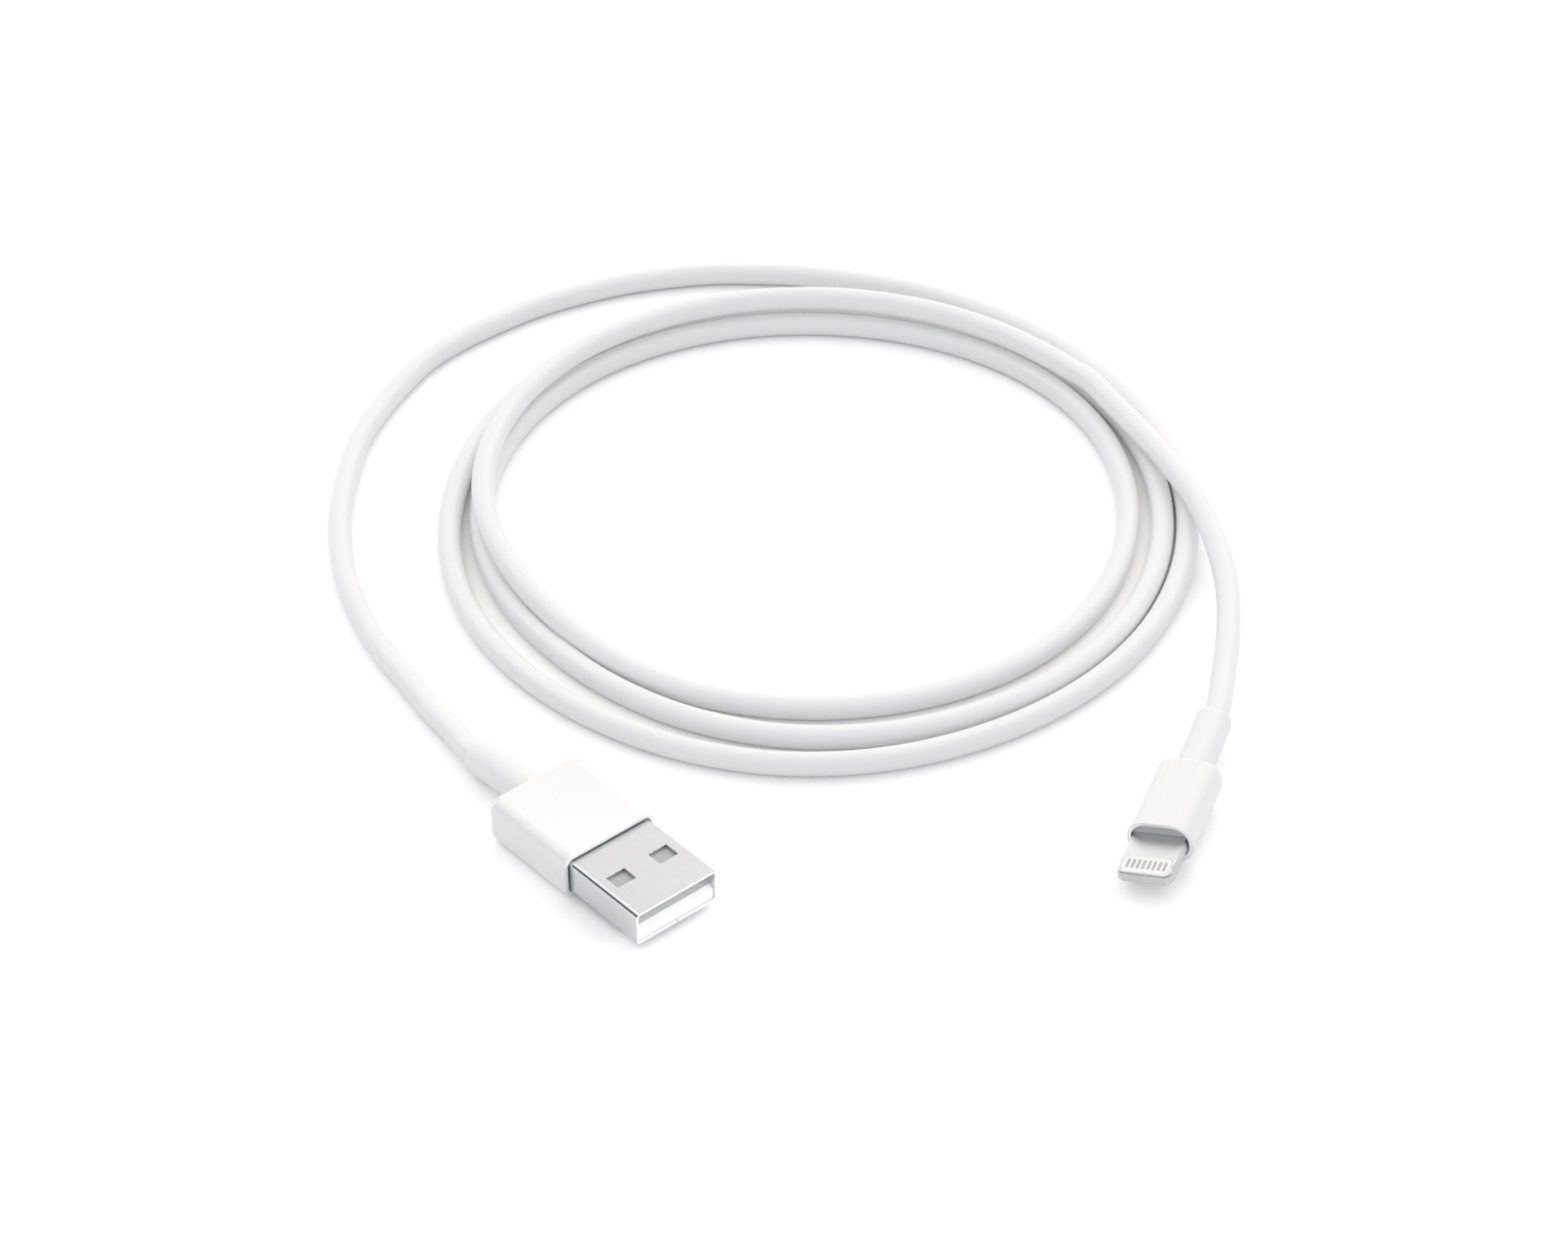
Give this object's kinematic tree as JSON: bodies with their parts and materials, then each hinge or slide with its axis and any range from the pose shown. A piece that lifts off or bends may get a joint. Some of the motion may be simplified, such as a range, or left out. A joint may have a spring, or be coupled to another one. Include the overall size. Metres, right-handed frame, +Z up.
{
  "type": "charging cable",
  "caption": "Coiled phone charging cable with a USB-A plug on one end and a small flat tip plug with contacts on both faces on the other.",
  "frame": {"origin": "on the surface that the cable lies on, under the middle of the USB plug's housing", "axes": "+X the way the USB plug goes into its socket, +Y to that plug's left, +Z up"},
  "size_m": [0.1452, 0.1218, 0.0065],
  "materials": {
    "grip_plastic": "smooth white moulded plastic",
    "relief_rubber": "satin white elastomer",
    "jacket_rubber": "satin white elastomer",
    "shell_steel": "nickel-plated sheet steel",
    "shield_tin": "tin-plated sheet",
    "insulator_plastic": "white moulded insulator",
    "contact_metal": "plated contact strip",
    "board_green": "solder mask",
    "chip_black": "moulded chip",
    "capacitor_tan": "ceramic",
    "wire_red": "insulated wire",
    "wire_white": "insulated wire",
    "wire_green": "insulated wire",
    "wire_black": "insulated wire"
  },
  "bodies": {
    "root": {"usb_housing": "grip_plastic", "usb_strain_relief": "relief_rubber", "usb_shell": "shell_steel", "usb_insulator": "insulator_plastic", "usb_contacts": "contact_metal", "usb_shield_upper": "shield_tin", "usb_shield_lower": "shield_tin", "usb_crimp": "shield_tin", "usb_jacket_end": "jacket_rubber", "wire_red": "wire_red", "wire_white": "wire_white", "wire_green": "wire_green", "wire_black": "wire_black", "usb_lead": "jacket_rubber", "cable_coil": "jacket_rubber", "tip_lead": "jacket_rubber", "tip_housing": "grip_plastic", "tip_strain_relief": "relief_rubber", "tip_blade": "shell_steel", "tip_insert_top": "insulator_plastic", "tip_insert_bottom": "insulator_plastic", "tip_contacts_top": "contact_metal", "tip_contacts_bottom": "contact_metal", "tip_board": "board_green", "tip_chip": "chip_black", "tip_capacitors": "capacitor_tan", "tip_shield_upper": "shield_tin", "tip_shield_lower": "shield_tin", "tip_crimp": "shield_tin", "tip_jacket_end": "jacket_rubber", "tip_wires": "wire_red"}
  },
  "joints": []
}
